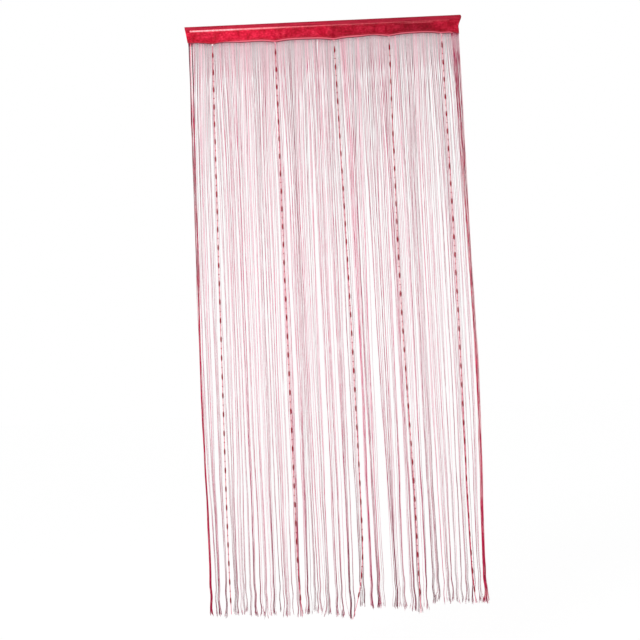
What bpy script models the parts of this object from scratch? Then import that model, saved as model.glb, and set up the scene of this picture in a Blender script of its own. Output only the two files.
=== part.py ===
"""A red string curtain: plain strings and five bead strands under a cloth heading with a rod pocket.

Lengths are in metres unless a name ends in MM. +Z is up, X runs across the width, and the front
faces -Y. The origin is the middle of the heading's top edge, where the curtain hangs.
"""

import math

import bmesh
import bpy
import numpy as np

MM = 0.001

# Driving dimensions
DROP = 2.008
TAPE_TOP_WIDTH = 0.966
TAPE_FOOT_WIDTH = 0.946
STRING_FIELD_WIDTH = 0.943
TAPE_HEIGHT = 0.063
TAPE_HEIGHTS_MM = (63, 62, 63, 60.5, 58, 66)  # at each bead strand and at the right end
ARC_RISE = 0.0062
ARC_REACH = 0.060

# Heading tape: one strip of cloth folded over, hemmed at both ends
CLOTH = 0.0010
HEM_CLOTH = 0.0016
HEM_WIDTH = 0.017
HEM_STEP = 0.001
SECTION_WIDTH = 0.023
STITCH_DEPTH = 0.020
SWAYING_FROM = 0.045

# The folded tape's middle line, from its lower edge to the fold, for the front layer
TAPE_FOOT_ROWS_MM = (  # in front of the middle, above the lower edge
    (1.25, 0.0),
    (1.25, 5.0),
    (0.75, 9.0),
)
TAPE_POCKET_ROWS_MM = (  # in front of the middle, below the top edge
    (0.65, 34.0),
    (0.65, 22.0),
    (1.50, 19.4),
    (4.80, 16.8),
    (7.20, 13.0),
    (7.80, 8.8),
    (6.60, 4.6),
    (3.90, 1.6),
)
TAPE_FOLD_ROW_MM = (0.0, 0.5)

# The tape's lower edge leaves the straight line, forwards and back
SWAYS = (  # amplitude, wavelength, phase
    (0.0012, 0.410, 0.6),
    (0.0006, 0.137, 2.1),
)

# Woven band that the strings hang from, sewn in between the tape's two layers
BAND_THICK = 0.0009
BAND_TUCKED = 0.0035
BAND_SHOWING = 0.0055

# Strings
STRING_WIDTH = 0.0012
LEFT_EDGE = {"width": 0.016, "strings": 9}
RIGHT_EDGE = {"width": 0.026, "strings": 14}
MIDDLE_STRINGS = 264
LAYER_PITCH = 0.0017
LAYERS = (1, -1, 0)
UNEVEN_ENDS = 0.012
GOLDEN = 0.618034

# How far the strings have drawn together: first into columns of three, then the columns into locks.
# Each row: below the top edge as a share of the drop, share into columns, share into locks, and how
# far to the right of its place at the hem the lock is, in mm.
GATHERING = (
    (0.210, 0.35, 0.10, 0),
    (0.600, 0.90, 0.50, 0),
    (1.000, 1.00, 1.00, 0),
)
LEFT_GATHERING = (
    (0.210, 0.32, 0.43, -7.5),
    (0.600, 0.95, 1.00, -7.5),
    (1.000, 1.00, 1.00, 0),
)
RIGHT_GATHERING = (
    (0.210, 0.33, 0.45, 14),
    (0.600, 0.95, 1.00, 13),
    (1.000, 1.00, 1.00, 0),
)
COLUMN_DRIFT = 0.006
LOOSE_SHARE = 0.45  # how far the loose columns at a lock's two sides join it
LOOSE_FROM = 0.009  # the least distance between such a column and the lock
LOOSE_ABOVE = -0.2  # columns with an uneven value above this are loose

# Locks that the strings hang in at the hem
HEM_LOCKS_MM = (  # across, pull on the strings around, longer than the drop
    (-460, 5, 0),
    (-433, 3, 5),
    (-409, 2, 7),
    (-377, 3, 4),
    (-356, 1, 2),
    (-346, 1, -4),
    (-315, 4, 12),
    (-293, 2, 10),
    (-276, 2, 19),
    (-253, 3, 11),
    (-233, 1, 2),
    (-210, 4, 15),
    (-190, 1, 10),
    (-167, 4, 20),
    (-140, 4, 12),
    (-113, 2, 9),
    (-102, 3, 6),
    (-70, 3, 19),
    (-43, 3, 22),
    (-24, 3, 30),
    (3, 4, 32),
    (40, 3, -6),
    (73, 3, 0),
    (100, 5, 2),
    (157, 5, 4),
    (179, 2, 11),
    (217, 3, 15),
    (233, 3, 24),
    (256, 3, 13),
    (280, 3, -3),
    (299, 3, -14),
    (319, 2, -4),
    (334, 2, -3),
    (346, 2, -8),
    (359, 2, 0),
    (373, 2, -5),
    (387, 3, -2),
    (410, 3, 1),
    (432, 1, 0),
    (453, 5, 0),
)

# Bead strands
BEAD_STRANDS_MM = (  # across: at the tape, 1.0 m down, 1.6 m down; swing of the end; longer than the drop
    (-387, -395, -398, 3, 3),
    (-169, -170, -169, 9, 18),
    (36, 48, 52, -46, 37),
    (228, 222, 233, 1, 26),
    (411, 414, 410, 8, 2),
)
STRAND_TABLE_DEPTHS = (TAPE_HEIGHT, 1.0, 1.6)
SWING_LENGTH = 0.33
SWING_POWER = 2.8
THREAD = 0.0012
TAB_WIDTH = 0.005
TAB_HEIGHT = 0.0048
KNOT_HEIGHT = 0.0015
KNOT_WIDTH = 0.0015
FIRST_BEAD_DEPTH = 0.106
BEAD_PITCH = 0.0618
BEADS_PER_STRAND = 31
BEAD_DRIFT_MM = (  # number of the bead, how much lower it sits than an even pitch puts it
    (0, 0),
    (9, -5),
    (13, -4.5),
    (21, 9.5),
    (26, 10),
    (30, 6),
)
BEAD_LENGTH = 0.019
BEAD_WIDTH = 0.0052
STRAND_STANDS_OUT = (  # below the top edge, in front of the strings' own middle
    (TAPE_HEIGHT, 0.0012),
    (0.095, 0.0039),
    (0.420, 0.0056),
)

CLEARANCE = 0.0003
SAME_PLACE = STRING_WIDTH / 100

FIELD_HALF = STRING_FIELD_WIDTH / 2
FOOT_HALF = TAPE_FOOT_WIDTH / 2
TOP_HALF = TAPE_TOP_WIDTH / 2

# The tape's lower edge is drawn down at each bead strand and at its right end
DIPS = [strand[0] * MM for strand in BEAD_STRANDS_MM] + [FIELD_HALF]


def clear_scene():
    for obj in list(bpy.data.objects):
        bpy.data.objects.remove(obj, do_unlink=True)


def material(name, colour, roughness):
    made = bpy.data.materials.new(name)
    made.use_nodes = True
    shader = made.node_tree.nodes["Principled BSDF"]
    shader.inputs["Base Color"].default_value = (*colour, 1.0)
    shader.inputs["Roughness"].default_value = roughness
    shader.inputs["Metallic"].default_value = 0.0
    return made


def object_from(bm, name, finish):
    """Turns the bmesh into an object at the origin, with its normals outwards."""
    bmesh.ops.recalc_face_normals(bm, faces=bm.faces)
    mesh = bpy.data.meshes.new(name)
    bm.to_mesh(mesh)
    bm.free()
    mesh.materials.append(finish)
    obj = bpy.data.objects.new(name, mesh)
    bpy.context.scene.collection.objects.link(obj)
    return obj


# Places across the width
def string_roots():
    """Where each string leaves the band, from left to right. The side edges are set closer."""
    left_end = -FIELD_HALF + LEFT_EDGE["width"]
    right_start = FIELD_HALF - RIGHT_EDGE["width"]
    stretches = (
        (-FIELD_HALF, left_end, LEFT_EDGE["strings"]),
        (left_end, right_start, MIDDLE_STRINGS),
        (right_start, FIELD_HALF, RIGHT_EDGE["strings"]),
    )
    roots = []
    for start, end, count in stretches:
        pitch = (end - start) / count
        roots += [start + pitch * (i + 0.5) for i in range(count)]
    return roots


def gaps_between(roots):
    """The middle of each gap between strings, with the field's two ends."""
    inner = [(a + b) / 2 for a, b in zip(roots, roots[1:])]
    return [-FIELD_HALF, *inner, FIELD_HALF]


def section_gaps(gaps):
    """Numbers of the gaps where the tape and the band bend: at each bead strand, and evenly between."""
    anchors = [0]
    for strand in BEAD_STRANDS_MM:
        anchors.append(int(np.argmin(np.abs(np.array(gaps) - strand[0] * MM))))
    anchors.append(len(gaps) - 1)
    numbers = []
    for first, last in zip(anchors, anchors[1:]):
        steps = max(1, round((gaps[last] - gaps[first]) / SECTION_WIDTH))
        numbers += [round(first + (last - first) * k / steps) for k in range(steps)]
    return [*numbers, anchors[-1]]


ROOTS = string_roots()
GAPS = gaps_between(ROOTS)
SECTION_GAPS = section_gaps(GAPS)
SECTION_X = [GAPS[number] for number in SECTION_GAPS]


def arc_edge(x):
    """Height of the tape's lower edge: low at each dip, with an arc between."""
    away = min(abs(x - dip) for dip in DIPS)
    low = float(np.interp(x, DIPS, TAPE_HEIGHTS_MM)) * MM
    return -low + ARC_RISE * math.sin(math.pi / 2 * min(1.0, away / ARC_REACH))


def arc_sway(x):
    return sum(size * math.sin(2 * math.pi * x / length + phase) for size, length, phase in SWAYS)


SECTION_EDGE = [arc_edge(x) for x in SECTION_X]
SECTION_SWAY = [arc_sway(x) for x in SECTION_X]


def edge_at(x):
    return float(np.interp(x, SECTION_X, SECTION_EDGE))


def sway_at(x):
    return float(np.interp(x, SECTION_X, SECTION_SWAY))


# Heading tape
def tape_profile(x):
    """The folded tape's middle line at x, as (y, z) from the front foot over the fold to the back foot."""
    low = edge_at(x)
    front = [(-out * MM, low + up * MM) for out, up in TAPE_FOOT_ROWS_MM]
    front += [(-out * MM, -down * MM) for out, down in TAPE_POCKET_ROWS_MM]
    fold = (TAPE_FOLD_ROW_MM[0] * MM, -TAPE_FOLD_ROW_MM[1] * MM)
    back = [(-y, z) for y, z in reversed(front)]
    return [*front, fold, *back]


def tape_section(x, hemmed, at_end):
    """Points of one section of the tape, swayed, thickened for the hem and flared at the very end."""
    side = math.copysign(1.0, x)
    extra = (HEM_CLOTH - CLOTH) / 2 if hemmed else 0.0
    points = []
    for y, z in tape_profile(x):
        y += math.copysign(extra, y) if y else 0.0
        swaying = min(1.0, max(0.0, (-z - STITCH_DEPTH) / (SWAYING_FROM - STITCH_DEPTH)))
        flare = (TOP_HALF - FOOT_HALF) * (1.0 + z / TAPE_HEIGHT)
        across = side * (FOOT_HALF + flare) if at_end else x
        points.append((across, y + sway_at(x) * swaying, z))
    return points


def heading(finish):
    hem_start = FOOT_HALF - HEM_WIDTH
    inner = [x for x in SECTION_X if abs(x) < hem_start - HEM_STEP]
    plain = [-hem_start + HEM_STEP, *inner, hem_start - HEM_STEP]
    hemmed = [-FOOT_HALF, -hem_start, hem_start, FOOT_HALF]
    sections = sorted([(x, False) for x in plain] + [(x, True) for x in hemmed])
    bm = bmesh.new()
    thickness = bm.verts.layers.deform.verify()
    grid = []
    for x, is_hem in sections:
        row = [bm.verts.new(point) for point in tape_section(x, is_hem, abs(x) == FOOT_HALF)]
        for vert in row:
            vert[thickness][0] = 1.0 if is_hem else CLOTH / HEM_CLOTH
        grid.append(row)
    for left, right in zip(grid, grid[1:]):
        for a, b, c, d in zip(left, left[1:], right[1:], right):
            bm.faces.new((a, b, c, d))
    tape = object_from(bm, "heading", finish)
    tape.vertex_groups.new(name="cloth_thickness")
    cloth = tape.modifiers.new("cloth", "SOLIDIFY")
    cloth.thickness = HEM_CLOTH
    cloth.offset = 0.0
    cloth.use_even_offset = True
    cloth.vertex_group = "cloth_thickness"
    return tape


# Strings
def extend(bm, face, centre, width, depth):
    """Draws the face out into a new end of the given size, level and with its middle at centre."""
    middle = face.calc_center_median()
    end = bmesh.ops.extrude_discrete_faces(bm, faces=[face])["faces"][0]
    for vert in end.verts:
        across = math.copysign(width / 2, vert.co.x - middle.x)
        through = math.copysign(depth / 2, vert.co.y - middle.y)
        vert.co = (centre[0] + across, centre[1] + through, centre[2])
    return end


def lock_borders():
    """The places across the band where one lock's strings end and the next lock's begin."""
    borders = [-FIELD_HALF + LEFT_EDGE["width"]]
    inner = HEM_LOCKS_MM[1:-1]
    for (x, pull, _), (next_x, next_pull, _) in zip(inner, inner[1:]):
        borders.append((x + (next_x - x) * pull / (pull + next_pull)) * MM)
    borders.append(FIELD_HALF - RIGHT_EDGE["width"])
    return borders


def uneven(number):
    """A value from -0.5 to 0.5 that is scattered over neighbouring numbers."""
    return number * GOLDEN % 1 - 0.5


def stays_loose(column, columns, away, members):
    """Most of the columns that lie far out at a lock's left or right side join it only in part."""
    at_left = column == 0 and away < -LOOSE_FROM
    at_right = column == columns - 1 and away > LOOSE_FROM
    return (at_left or at_right) and uneven(members[0]) > LOOSE_ABOVE


def column_route(column, columns, lock, members):
    """A column's middle at the band, and (x, share of the drop, share into the column) at each bend."""
    lock_x = HEM_LOCKS_MM[lock][0] * MM + (column - (columns - 1) / 2) * LAYER_PITCH
    root = sum(ROOTS[number] for number in members) / len(members)
    gathering = {0: LEFT_GATHERING, len(HEM_LOCKS_MM) - 1: RIGHT_GATHERING}.get(lock, GATHERING)
    loose = gathering is GATHERING and stays_loose(column, columns, root - lock_x, members)
    joins = LOOSE_SHARE if loose else 1.0
    route = []
    for down, into_column, into_lock, lock_shift in gathering:
        drift = COLUMN_DRIFT * uneven(members[0]) * into_column * (1 - into_lock)
        reach = lock_x + lock_shift * MM - root
        route.append((root + reach * into_lock * joins + drift, down, into_column))
    return root, route


def string_routes():
    """For each string, the middles of its bends and its end below the band."""
    lock_of = np.searchsorted(lock_borders(), ROOTS)
    routes = []
    for lock, (_, _, longer_mm) in enumerate(HEM_LOCKS_MM):
        mates = [int(number) for number in np.flatnonzero(lock_of == lock)]
        columns = math.ceil(len(mates) / len(LAYERS))
        for column in range(columns):
            members = mates[column * len(LAYERS) : (column + 1) * len(LAYERS)]
            column_root, bends = column_route(column, columns, lock, members)
            for number, layer in zip(members, LAYERS):
                length = DROP + longer_mm * MM + UNEVEN_ENDS * uneven(number)
                aside = ROOTS[number] - column_root
                route = [
                    (x + aside * (1 - into_column), layer * LAYER_PITCH, -down * length)
                    for x, down, into_column in bends
                ]
                routes.append(route)
    return routes


def band_front(bm):
    """The band's front face, one polygon for each section, with two corners below for every string."""
    def point(x, above_edge):
        return bm.verts.new((x, sway_at(x) - BAND_THICK / 2, edge_at(x) + above_edge))

    sides = [(point(x, BAND_TUCKED), point(x, -BAND_SHOWING)) for x in SECTION_X]
    stretches = zip(SECTION_GAPS, SECTION_GAPS[1:])
    for (left, right), (first, last) in zip(zip(sides, sides[1:]), stretches):
        lower = []
        for root in ROOTS[first:last]:
            lower.append(point(root - STRING_WIDTH / 2, -BAND_SHOWING))
            lower.append(point(root + STRING_WIDTH / 2, -BAND_SHOWING))
        bm.faces.new([*left, *lower, *reversed(right)])


def string_starts(bm):
    """The faces under the band that the strings grow from, from left to right."""
    starts = []
    for face in bm.faces:
        xs = [vert.co.x for vert in face.verts]
        middle = (max(xs) + min(xs)) / 2
        nearest = min(abs(middle - root) for root in ROOTS)
        as_wide = abs(max(xs) - min(xs) - STRING_WIDTH)
        if max(nearest, as_wide) < SAME_PLACE:
            starts.append(face)
    return sorted(starts, key=lambda face: face.calc_center_median().x)


def strings(finish):
    bm = bmesh.new()
    band_front(bm)
    grown = bmesh.ops.extrude_face_region(bm, geom=bm.faces[:])["geom"]
    back = [item for item in grown if isinstance(item, bmesh.types.BMVert)]
    bmesh.ops.translate(bm, verts=back, vec=(0.0, BAND_THICK, 0.0))
    for end, route in zip(string_starts(bm), string_routes(), strict=True):
        for centre in route:
            end = extend(bm, end, centre, STRING_WIDTH, BAND_THICK)
    return object_from(bm, "strings", finish)


# Bead strands
def strand_place(strand, depth):
    """The middle of a bead strand at a depth below the top edge."""
    *across_mm, swing_mm, longer_mm = strand
    length = DROP + longer_mm * MM
    x = float(np.interp(depth, STRAND_TABLE_DEPTHS, across_mm)) * MM
    near_end = max(0.0, (depth - (length - SWING_LENGTH)) / SWING_LENGTH)
    x += swing_mm * MM * near_end**SWING_POWER
    depths, offsets = zip(*STRAND_STANDS_OUT)
    first, last = depths[0], depths[-1]
    still_swayed = max(0.0, min(1.0, (last - depth) / (last - first)))
    y = sway_at(across_mm[0] * MM) * still_swayed - float(np.interp(depth, depths, offsets))
    return x, y, -depth


def bead_rings(strand):
    """Depth and thickness of the strand where they change: thin between the long beads, wide at them."""
    rings = []
    numbers, drifts = zip(*BEAD_DRIFT_MM)
    for number in range(BEADS_PER_STRAND):
        middle = FIRST_BEAD_DEPTH + BEAD_PITCH * number + float(np.interp(number, numbers, drifts)) * MM
        rings.append((middle - BEAD_LENGTH / 2, THREAD))
        rings.append((middle, BEAD_WIDTH))
        rings.append((middle + BEAD_LENGTH / 2, THREAD))
    rings.append((DROP + strand[-1] * MM, THREAD))
    return rings


def bead_strand(number, strand, finish):
    """One strand with the tab that sews it to the front of the band, just under the tape."""
    bm = bmesh.new()
    root = strand[0] * MM
    front = sway_at(root) - BAND_THICK / 2 - CLEARANCE
    top = edge_at(root) - 2 * CLEARANCE
    bmesh.ops.create_cube(bm, size=1.0)
    bmesh.ops.scale(bm, vec=(TAB_WIDTH, BAND_THICK, TAB_HEIGHT), verts=bm.verts)
    middle = (root, front - BAND_THICK / 2, top - TAB_HEIGHT / 2)
    bmesh.ops.translate(bm, vec=middle, verts=bm.verts)
    end = min(bm.faces, key=lambda face: face.calc_center_median().z)
    knot = (root, front - KNOT_WIDTH / 2, top - TAB_HEIGHT - KNOT_HEIGHT)
    end = extend(bm, end, knot, KNOT_WIDTH, KNOT_WIDTH)
    for depth, thick in bead_rings(strand):
        end = extend(bm, end, strand_place(strand, depth), thick, thick)
    return object_from(bm, f"bead_strand_{number}", finish)


clear_scene()
heading(material("tape_satin", (0.60, 0.015, 0.045), 0.55))
strings(material("string_yarn", (0.58, 0.030, 0.080), 0.80))
bead_finish = material("bead_red", (0.42, 0.008, 0.025), 0.20)
for place, row in enumerate(BEAD_STRANDS_MM, start=1):
    bead_strand(place, row, bead_finish)
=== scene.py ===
"""Studio scene of a red string curtain: yarns and bead strands under a cloth heading with a rod pocket.

Lengths are in metres unless a name ends in MM. +Z is up, X runs across the width, and the front
faces -Y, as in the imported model. A table's comment names its columns.
"""

import math

import bmesh
import bpy
import numpy as np
from mathutils import Matrix, Vector, noise


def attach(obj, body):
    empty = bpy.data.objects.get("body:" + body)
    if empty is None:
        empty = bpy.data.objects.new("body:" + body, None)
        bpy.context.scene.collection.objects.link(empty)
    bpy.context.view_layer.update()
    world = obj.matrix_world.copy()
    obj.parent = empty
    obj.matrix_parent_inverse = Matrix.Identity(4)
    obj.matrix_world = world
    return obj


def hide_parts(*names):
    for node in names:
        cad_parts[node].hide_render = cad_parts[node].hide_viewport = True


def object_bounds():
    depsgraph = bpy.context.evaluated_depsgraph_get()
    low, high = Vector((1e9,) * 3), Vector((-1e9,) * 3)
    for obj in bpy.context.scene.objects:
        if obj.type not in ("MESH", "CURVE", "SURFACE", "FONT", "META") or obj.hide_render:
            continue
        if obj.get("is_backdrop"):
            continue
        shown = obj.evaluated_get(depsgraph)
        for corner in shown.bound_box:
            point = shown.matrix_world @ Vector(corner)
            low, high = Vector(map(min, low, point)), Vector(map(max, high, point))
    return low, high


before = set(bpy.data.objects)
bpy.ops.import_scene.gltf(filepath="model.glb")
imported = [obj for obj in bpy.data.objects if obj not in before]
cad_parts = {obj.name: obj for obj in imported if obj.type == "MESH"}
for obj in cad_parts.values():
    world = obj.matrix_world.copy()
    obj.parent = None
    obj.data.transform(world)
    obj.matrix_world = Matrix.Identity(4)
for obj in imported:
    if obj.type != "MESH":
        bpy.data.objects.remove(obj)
cad_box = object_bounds()

MM = 0.001

# Camera
CAMERA_PLACE = (-0.0568, -3.020, -1.2639)
CAMERA_PITCH = math.radians(4.15)
CAMERA_ROLL = math.radians(-2.62)

# Light and floor
AIR_LIGHT = 0.52
SUN_STRENGTH = 1.20
SUN_SPREAD = math.radians(25.0)
SUN_AIM = (0.55, 0.80, -0.55)
SOFT_LIGHTS = (  # name, place, target, size, watts
    ("left_light", (-1.25, -1.25, -0.15), (-0.35, 0.0, -0.1), 0.7, 13.0),
    ("middle_light", (0.1, -1.05, -1.05), (0.1, 0.0, -1.05), 0.9, 2.6),
)
FLOOR_HEIGHT = -2.25
FLOOR_REACH = 30.0
FLOOR_GLOW = 0.82

# Driving dimensions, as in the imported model
DROP = 2.008
TAPE_TOP_WIDTH = 0.966
TAPE_FOOT_WIDTH = 0.946
STRING_FIELD_WIDTH = 0.943
TAPE_HEIGHT = 0.063
TAPE_HEIGHTS_MM = (63, 62, 63, 60.5, 58, 66)  # at each bead strand and at the right end
ARC_RISE = 0.0062
ARC_REACH = 0.060
HEM_WIDTH = 0.017
SECTION_WIDTH = 0.023
STITCH_DEPTH = 0.020
SWAYING_FROM = 0.045
SWAYS = (  # amplitude, wavelength, phase
    (0.0012, 0.410, 0.6),
    (0.0006, 0.137, 2.1),
)
BAND_THICK = 0.0009
BAND_TUCKED = 0.0035
LEFT_EDGE = {"width": 0.016, "strings": 9}
RIGHT_EDGE = {"width": 0.026, "strings": 14}
MIDDLE_STRINGS = 264
LAYER_PITCH = 0.0017
LAYERS = (1, -1, 0)
UNEVEN_ENDS = 0.012
GOLDEN = 0.618034  # its multiples scatter evenly
GATHERING = (  # share of the drop, share into columns, share into locks, the lock's shift in mm
    (0.210, 0.35, 0.10, 0),
    (0.600, 0.90, 0.50, 0),
    (1.000, 1.00, 1.00, 0),
)
LEFT_GATHERING = (
    (0.210, 0.32, 0.43, -7.5),
    (0.600, 0.95, 1.00, -7.5),
    (1.000, 1.00, 1.00, 0),
)
RIGHT_GATHERING = (
    (0.210, 0.33, 0.45, 14),
    (0.600, 0.95, 1.00, 13),
    (1.000, 1.00, 1.00, 0),
)
COLUMN_DRIFT = 0.006
LOOSE_SHARE = 0.45  # how far the loose columns at a lock's two sides join it
LOOSE_FROM = 0.009  # the least distance between such a column and the lock
LOOSE_ABOVE = -0.2  # columns with an uneven value above this are loose
HEM_LOCKS_MM = (  # across, pull on the strings around, longer than the drop
    (-460, 5, 0),
    (-433, 3, 5),
    (-409, 2, 7),
    (-377, 3, 4),
    (-356, 1, 2),
    (-346, 1, -4),
    (-315, 4, 12),
    (-293, 2, 10),
    (-276, 2, 19),
    (-253, 3, 11),
    (-233, 1, 2),
    (-210, 4, 15),
    (-190, 1, 10),
    (-167, 4, 20),
    (-140, 4, 12),
    (-113, 2, 9),
    (-102, 3, 6),
    (-70, 3, 19),
    (-43, 3, 22),
    (-24, 3, 30),
    (3, 4, 32),
    (40, 3, -6),
    (73, 3, 0),
    (100, 5, 2),
    (157, 5, 4),
    (179, 2, 11),
    (217, 3, 15),
    (233, 3, 24),
    (256, 3, 13),
    (280, 3, -3),
    (299, 3, -14),
    (319, 2, -4),
    (334, 2, -3),
    (346, 2, -8),
    (359, 2, 0),
    (373, 2, -5),
    (387, 3, -2),
    (410, 3, 1),
    (432, 1, 0),
    (453, 5, 0),
)
BEAD_STRANDS_MM = (  # across: at the tape, 1.0 m down, 1.6 m down; swing of the end; longer than the drop
    (-387, -395, -398, 3, 3),
    (-169, -170, -169, 9, 18),
    (36, 48, 52, -46, 37),
    (228, 222, 233, 1, 26),
    (411, 414, 410, 8, 2),
)
STRAND_TABLE_DEPTHS = (TAPE_HEIGHT, 1.0, 1.6)
SWING_LENGTH = 0.33
SWING_POWER = 2.8
FIRST_BEAD_DEPTH = 0.106
BEAD_PITCH = 0.0618
BEADS_PER_STRAND = 31
BEAD_DRIFT_MM = (  # number of the bead, how much lower it sits than an even pitch puts it
    (0, 0),
    (9, -5),
    (13, -4.5),
    (21, 9.5),
    (26, 10),
    (30, 6),
)
STRAND_STANDS_OUT = (  # below the top edge, in front of the strings' own middle
    (TAPE_HEIGHT, 0.0012),
    (0.095, 0.0039),
    (0.420, 0.0056),
)

# Finer sizes of the real thing
CLOTH = 0.0009
TAPE_COLUMNS = 376
TAPE_ROWS_MM = (  # in front of the middle; height over the lower edge, from row four over the top edge
    (1.25, 0.0),
    (1.25, 5.0),
    (0.75, 9.0),
    (0.65, -34.0),
    (0.65, -20.5),
    (1.40, -18.2),
    (4.80, -16.0),
    (7.20, -12.6),
    (7.80, -8.8),
    (6.60, -4.6),
    (3.90, -1.6),
    (0.00, -0.5),
)
FOOT_ROWS = 3
FOLD_ROW = len(TAPE_ROWS_MM) - 1
TAPE_ROW_STEPS = (3, 3, 8, 6, 4, 5, 4, 4, 4, 4, 4)
BAND_SHOWING_MM = (  # across, how much of the band shows under the tape
    (-470, 1.8),
    (-430, 2.4),
    (-350, 3.4),
    (-290, 7.4),
    (120, 7.4),
    (170, 4.6),
    (210, 6.6),
    (448, 6.2),
    (456, 1.6),
    (470, 1.6),
)
YARN_WIDTH = 0.00070
YARN_SIDES = 5
BEAD_LENGTH = 0.0215
BEAD_WIDTH = 0.0056
ROUND_BEAD_WIDTH = 0.0050
SEED_BEAD_WIDTH = 0.0034
THREAD_WIDTHS = ((0.07, 0.0011), (0.60, 0.0012), (1.90, 0.0019))  # below the top edge, width
PALE_KNOT_WIDTH = 0.0030
CLEAR_BEAD_WIDTH = 0.0056
CLEAR_BEAD_DEPTH = 0.0688
STITCH_PITCH = 0.0034
STITCH_LENGTH = 0.0026
STITCH_WIDTH = 0.0007
STITCH_PROUD = CLOTH / 2 + STITCH_WIDTH * 0.12
STITCH_LEAN = 0.12
STITCH_LINE = 0.0222  # below the top edge
FOOT_SEAM = 0.0035  # above the lower edge
SEAM_INSET = 0.002

FIELD_HALF = STRING_FIELD_WIDTH / 2
FOOT_HALF = TAPE_FOOT_WIDTH / 2
TOP_HALF = TAPE_TOP_WIDTH / 2
DIPS = [strand[0] * MM for strand in BEAD_STRANDS_MM] + [FIELD_HALF]

AXIS_X = Vector((1.0, 0.0, 0.0))
AXIS_Y = Vector((0.0, 1.0, 0.0))
AXIS_Z = Vector((0.0, 0.0, 1.0))


# Camera, lights and floor
def new_object(name, data):
    obj = bpy.data.objects.new(name, data)
    bpy.context.scene.collection.objects.link(obj)
    return obj


def camera():
    lens = bpy.data.cameras.new("camera")
    lens.lens = 50.0
    lens.sensor_width = 36.0
    obj = new_object("camera", lens)
    pitch = Matrix.Rotation(math.pi / 2 + CAMERA_PITCH, 4, "X")
    roll = Matrix.Rotation(CAMERA_ROLL, 4, "Z")
    obj.matrix_world = Matrix.Translation(CAMERA_PLACE) @ pitch @ roll
    bpy.context.scene.camera = obj


def studio_air():
    """White surroundings: full white where they are seen, softer as a light."""
    world = bpy.data.worlds.new("studio_air")
    world.use_nodes = True
    tree = world.node_tree
    seen = tree.nodes.new("ShaderNodeLightPath").outputs["Is Camera Ray"]
    strength = tree.nodes.new("ShaderNodeMath")
    strength.operation = "MULTIPLY_ADD"
    tree.links.new(seen, strength.inputs[0])
    strength.inputs[1].default_value = 1.0 - AIR_LIGHT
    strength.inputs[2].default_value = AIR_LIGHT
    tree.links.new(strength.outputs[0], tree.nodes["Background"].inputs["Strength"])
    tree.nodes["Background"].inputs["Color"].default_value = (1.0, 1.0, 1.0, 1.0)
    bpy.context.scene.world = world


def aimed_light(name, kind, strength, aim, place=(0.0, 0.0, 0.0)):
    """A light that shines along aim. The caller sets how broad it is."""
    lamp = bpy.data.lights.new(name, kind)
    lamp.energy = strength
    obj = new_object(name, lamp)
    obj.location = place
    obj.rotation_euler = aim.to_track_quat("-Z", "Y").to_euler()
    return lamp


def studio_lights():
    """A broad sun from the upper left, a near soft light at the left, and a weak one lower down."""
    aimed_light("broad_sun", "SUN", SUN_STRENGTH, Vector(SUN_AIM)).angle = SUN_SPREAD
    for name, place, target, size, watts in SOFT_LIGHTS:
        lamp = aimed_light(name, "AREA", watts, Vector(target) - Vector(place), place)
        lamp.shape = "SQUARE"
        lamp.size = size


def pale_floor():
    bm = bmesh.new()
    bmesh.ops.create_grid(bm, x_segments=1, y_segments=1, size=FLOOR_REACH)
    bmesh.ops.translate(bm, verts=bm.verts, vec=(0.0, 0.0, FLOOR_HEIGHT))
    finish, _, shader = new_material("pale_floor", 0.9)
    shader.inputs["Base Color"].default_value = (0.25, 0.25, 0.25, 1.0)
    shader.inputs["Specular IOR Level"].default_value = 0.0
    shader.inputs["Emission Color"].default_value = (1.0, 1.0, 1.0, 1.0)
    shader.inputs["Emission Strength"].default_value = FLOOR_GLOW
    object_from(bm, "floor", finish)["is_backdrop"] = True


# Material tools
def new_material(name, roughness):
    made = bpy.data.materials.new(name)
    made.use_nodes = True
    shader = made.node_tree.nodes["Principled BSDF"]
    shader.inputs["Roughness"].default_value = roughness
    return made, made.node_tree, shader


def feed(tree, socket, value):
    """Links a socket into the socket, or sets it to a plain value."""
    if isinstance(value, bpy.types.NodeSocket):
        tree.links.new(value, socket)
    else:
        socket.default_value = value


def add_node(tree, kind, inputs, **settings):
    node = tree.nodes.new(kind)
    for key, value in settings.items():
        setattr(node, key, value)
    for key, value in inputs.items():
        feed(tree, node.inputs[key], value)
    return node


def mixed(tree, share, first, second):
    """A colour between two colours."""
    node = add_node(tree, "ShaderNodeMix", {}, data_type="RGBA")
    colours = [socket for socket in node.inputs if socket.type == "RGBA"]
    feed(tree, node.inputs[0], share)
    for socket, colour in zip(colours, (first, second)):
        feed(tree, socket, colour)
    return next(socket for socket in node.outputs if socket.type == "RGBA")


def calculated(tree, operation, *values):
    node = add_node(tree, "ShaderNodeMath", dict(enumerate(values)), operation=operation)
    return node.outputs[0]


def ramped(tree, factor, stops):
    """A colour ramp with stops of (place, colour)."""
    node = add_node(tree, "ShaderNodeValToRGB", {"Fac": factor})
    elements = node.color_ramp.elements
    elements[0].position = stops[0][0]
    elements[1].position = stops[-1][0]
    for place, _ in stops[1:-1]:
        elements.new(place)
    for element, (_, colour) in zip(elements, stops):
        element.color = (*colour, 1.0)
    return node.outputs["Color"]


def clouds(tree, vector, closeness, detail=2.0):
    """Soft noise, as close along each axis as the three numbers say."""
    place = add_node(tree, "ShaderNodeMapping", {"Vector": vector, "Scale": closeness}).outputs["Vector"]
    inputs = {"Vector": place, "Scale": 1.0, "Detail": detail}
    return add_node(tree, "ShaderNodeTexNoise", inputs).outputs["Fac"]


def bands(tree, vector, scale, direction):
    inputs = {"Vector": vector, "Scale": scale}
    return add_node(tree, "ShaderNodeTexWave", inputs, bands_direction=direction).outputs["Fac"]


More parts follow.
